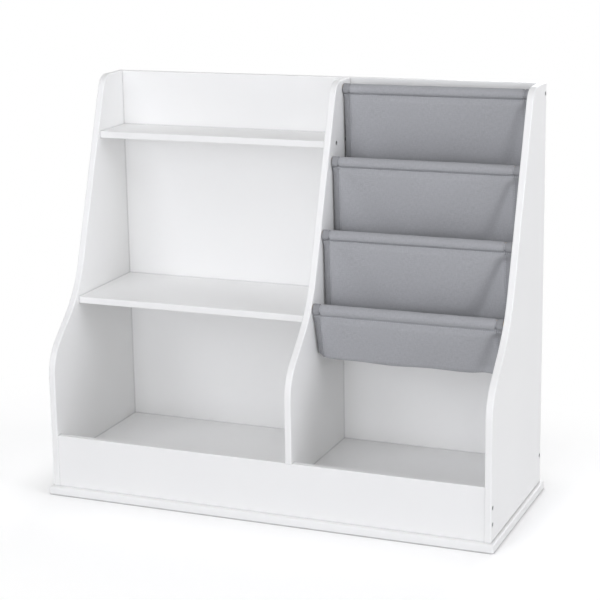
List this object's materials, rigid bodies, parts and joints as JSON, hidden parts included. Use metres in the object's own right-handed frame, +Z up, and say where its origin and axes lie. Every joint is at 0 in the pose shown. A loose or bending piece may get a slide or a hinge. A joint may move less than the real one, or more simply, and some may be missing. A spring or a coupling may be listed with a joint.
{
  "type": "sling bookshelf",
  "caption": "Low white children's bookcase: shelves over an open toy bin on one side, and cloth sling pockets on rods over a second bin on the other.",
  "frame": {"origin": "middle of the base plate's underside, on the floor", "axes": "+X to the viewer's right as seen from the front, +Y towards the back, +Z up"},
  "size_m": [0.812, 0.326, 0.717],
  "materials": {
    "lacquered_board": "white satin lacquer",
    "sling_cloth": "grey plain weave",
    "turned_rod": "bare turned wood",
    "beech_dowel": "bare fluted dowel",
    "zinc_screw": "zinc plated"
  },
  "bodies": {
    "root": {"base_plate": "lacquered_board", "side_left": "lacquered_board", "side_right": "lacquered_board", "divider": "lacquered_board", "back_panel": "lacquered_board", "front_board": "lacquered_board", "bin_floor_left": "lacquered_board", "bin_floor_right": "lacquered_board", "bin_back_right": "lacquered_board", "shelf_upper": "lacquered_board", "shelf_lower": "lacquered_board", "rod_front_1": "turned_rod", "rod_rear_1": "turned_rod", "rod_front_2": "turned_rod", "rod_rear_2": "turned_rod", "rod_front_3": "turned_rod", "rod_rear_3": "turned_rod", "rod_front_4": "turned_rod", "rod_rear_4": "turned_rod", "sling_1": "sling_cloth", "sling_2": "sling_cloth", "sling_3": "sling_cloth", "sling_4": "sling_cloth", "screw_left_back_1": "zinc_screw", "screw_left_back_2": "zinc_screw", "screw_left_front_1": "zinc_screw", "screw_left_front_2": "zinc_screw", "screw_right_back_1": "zinc_screw", "screw_right_back_2": "zinc_screw", "screw_right_front_1": "zinc_screw", "screw_right_front_2": "zinc_screw", "screw_left_upper_shelf_1": "zinc_screw", "screw_left_upper_shelf_2": "zinc_screw", "screw_divider_upper_shelf_1": "zinc_screw", "screw_divider_upper_shelf_2": "zinc_screw", "screw_left_lower_shelf_1": "zinc_screw", "screw_left_lower_shelf_2": "zinc_screw", "screw_divider_lower_shelf_1": "zinc_screw", "screw_divider_lower_shelf_2": "zinc_screw", "screw_base_left_1": "zinc_screw", "screw_base_left_2": "zinc_screw", "screw_base_divider_1": "zinc_screw", "screw_base_divider_2": "zinc_screw", "screw_base_right_1": "zinc_screw", "screw_base_right_2": "zinc_screw", "screw_back_divider_1": "zinc_screw", "screw_back_divider_2": "zinc_screw", "dowel_left_floor_1": "beech_dowel", "dowel_left_floor_2": "beech_dowel", "dowel_left_floor_3": "beech_dowel", "dowel_left_floor_4": "beech_dowel", "dowel_right_floor_1": "beech_dowel", "dowel_right_floor_2": "beech_dowel", "dowel_right_floor_3": "beech_dowel", "dowel_right_floor_4": "beech_dowel", "dowel_front_1": "beech_dowel", "dowel_front_2": "beech_dowel", "dowel_bin_back_1": "beech_dowel", "dowel_bin_back_2": "beech_dowel"}
  },
  "joints": []
}
